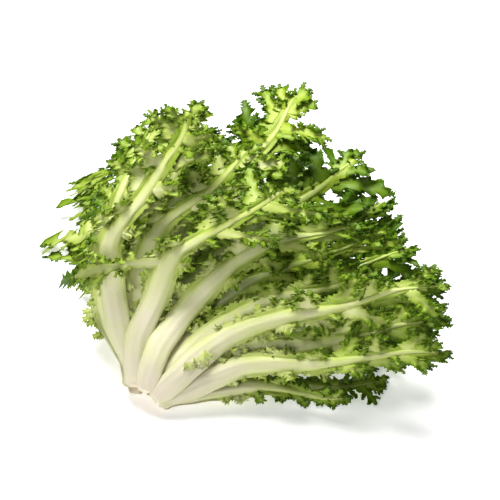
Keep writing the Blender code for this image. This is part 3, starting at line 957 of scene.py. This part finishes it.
def stump_material():
    shading = Shading("stump_flesh")
    shader = shading.nodes["Principled BSDF"]
    shading.put(shader, "Roughness", STUMP_ROUGHNESS)
    parts = shading.node("SeparateXYZ", Vector=shading.attribute("tone"))
    colour = shading.ramp(((0, CUT_COLOUR), (1, RIND_COLOUR)), parts.outputs["X"])
    shading.put(shader, "Base Color", colour)
    return shading.material


def leaf_material(name, stops):
    """A leaf's finish: pale fleshy rib to green frills, with streaks, and light coming through the blade."""
    shading = Shading(name)
    shading.nodes.clear()
    place = shading.node("TexCoord").outputs["Object"]
    tone = shading.node("SeparateXYZ", Vector=shading.attribute("tone"))
    blotch = shading.node("TexNoise", Vector=place, Scale=BLOTCH_SCALE, Detail=BLOTCH_DETAIL)
    stretched = shading.math("MULTIPLY", shading.attribute("grain"), STREAK_PACES, kind="VectorMath")
    streak = shading.node("TexNoise", Vector=stretched, Scale=1, Detail=STREAK_DETAIL)
    # The blotches and the streaks change the tone to either side of the painted one
    middle = -BLOTCH_TONE / 2 - STREAK_TONE / 2
    shift = shading.math("MULTIPLY_ADD", blotch.outputs["Fac"], BLOTCH_TONE, middle)
    lighter = shading.math("MULTIPLY_ADD", tone.outputs["Z"], LIGHT_TONE, shift)
    streaked = shading.math("MULTIPLY_ADD", streak.outputs["Fac"], STREAK_TONE, lighter)
    colour = shading.ramp(stops, shading.math("ADD", tone.outputs["X"], streaked))
    fine = shading.node("TexNoise", Vector=place, Scale=GRAIN_SCALE, Detail=GRAIN_DETAIL)
    rough = shading.math("ADD", fine.outputs["Fac"], streak.outputs["Fac"])
    bump = shading.node("Bump", Strength=BUMP_STRENGTH, Distance=BUMP_DISTANCE, Height=rough)
    shader = shading.node("BsdfPrincipled", Roughness=LEAF_ROUGHNESS, Specular_IOR_Level=LEAF_SPECULAR,
                          Base_Color=colour, Normal=bump.outputs["Normal"])
    glow = shading.node("BsdfTranslucent", Color=colour)
    through = shading.node("MapRange", Value=tone.outputs["Y"], From_Min=0, From_Max=FLESH_FULL,
                           To_Min=BLADE_GLOW, To_Max=FLESH_GLOW)
    mix = shading.node("MixShader", Fac=through.outputs["Result"])
    shading.put(mix, 1, shader.outputs[0])
    shading.put(mix, 2, glow.outputs[0])
    shading.node("OutputMaterial", Surface=mix.outputs[0])
    return shading.material


def linear(colour):
    """A display colour of 0 to 255 as the linear one that shaders take."""
    shares = [c / 255 for c in colour]
    return [c / 12.92 if c <= 0.04045 else ((c + 0.055) / 1.055) ** 2.4 for c in shares]


def leaf_kind(level, fan):
    return "outer" if abs(level) > OUTER_LEVEL or abs(fan) > OUTER_FAN else "inner"


def leaf_green(kind, level, fan):
    lowest, highest = GAP_SHADE_LEVELS
    # Leaves between these levels get a deeper green: painted shade for the gaps between the front leaves
    if lowest < level < highest:
        return GAP_SHADE_GREEN
    return SUNLIT_GREEN if fan < SUNLIT_FAN and kind == "outer" else LEAF_GREEN


def make_leaves():
    """Every leaf as one piece, which takes the place of the leaf's solid."""
    finishes = {
        "outer": leaf_material("outer_leaf_green", OUTER_STOPS),
        "inner": leaf_material("inner_leaf_green", INNER_STOPS),
    }
    counts = {"outer": 0, "inner": 0}
    for level, level_half, rows in LAYERS:
        for fan, length, half_width, pairs in rows:
            kind = leaf_kind(level, fan)
            counts[kind] += 1
            node = f"{kind}_leaf_{counts[kind]:02d}"
            leaf = Leaf(node, level, level_half, fan, length, half_width, pairs)
            skin = Skin()
            add_rib(skin, leaf)
            add_lobes(skin, leaf, leaf_green(kind, level, fan))
            if level > BACK_LEVEL:
                add_stalk_frills(skin, leaf)
            add_small_leaves(skin, leaf)
            piece = skin.piece(f"frilly_{node}", finishes[kind], leaf.in_head)
            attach(piece, "root")
            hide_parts(node)


def make_stage():
    mesh = bpy.data.meshes.new("floor")
    half = FLOOR_SIDE / 2
    corners = [(-half, -half, 0), (half, -half, 0), (half, half, 0), (-half, half, 0)]
    mesh.from_pydata(corners, [], [(0, 1, 2, 3)])
    floor = bpy.data.objects.new("floor", mesh)
    bpy.context.scene.collection.objects.link(floor)
    white = Shading("white_floor")
    shader = white.nodes["Principled BSDF"]
    white.put(shader, "Base Color", (*FLOOR_COLOUR, 1))
    white.put(shader, "Roughness", FLOOR_ROUGHNESS)
    white.put(shader, "Emission Color", (1, 1, 1, 1))
    white.put(shader, "Emission Strength", FLOOR_GLOW)
    mesh.materials.append(white.material)


def make_light(name, place, aim, size, watts):
    lamp = bpy.data.lights.new(name, "AREA")
    lamp.shape = "DISK"
    lamp.size = size
    lamp.energy = watts
    obj = bpy.data.objects.new(name, lamp)
    bpy.context.scene.collection.objects.link(obj)
    obj.location = place
    obj.rotation_euler = (Vector(aim) - Vector(place)).to_track_quat("-Z", "Y").to_euler()


def make_lights():
    world = bpy.data.worlds.new("studio")
    bpy.context.scene.world = world
    world.use_nodes = True
    background = world.node_tree.nodes["Background"]
    background.inputs["Color"].default_value = (1, 1, 1, 1)
    background.inputs["Strength"].default_value = WORLD_STRENGTH
    for name, place, aim, size, watts in LIGHTS:
        make_light(name, place, aim, size, watts)


def make_camera():
    target = Vector(APEX + TARGET_FROM_APEX)
    lens = bpy.data.cameras.new("camera")
    lens.angle = CAMERA_ANGLE
    camera = bpy.data.objects.new("camera", lens)
    bpy.context.scene.collection.objects.link(camera)
    back = Vector(VIEWER)
    camera.location = target + back * CAMERA_DISTANCE
    camera.rotation_euler = back.to_track_quat("Z", "Y").to_euler()
    bpy.context.scene.camera = camera


make_camera()
make_stage()
make_lights()
make_stump()
make_leaves()
bpy.context.scene.view_settings.view_transform = "Standard"
bpy.context.scene.view_settings.gamma = PICTURE_GAMMA
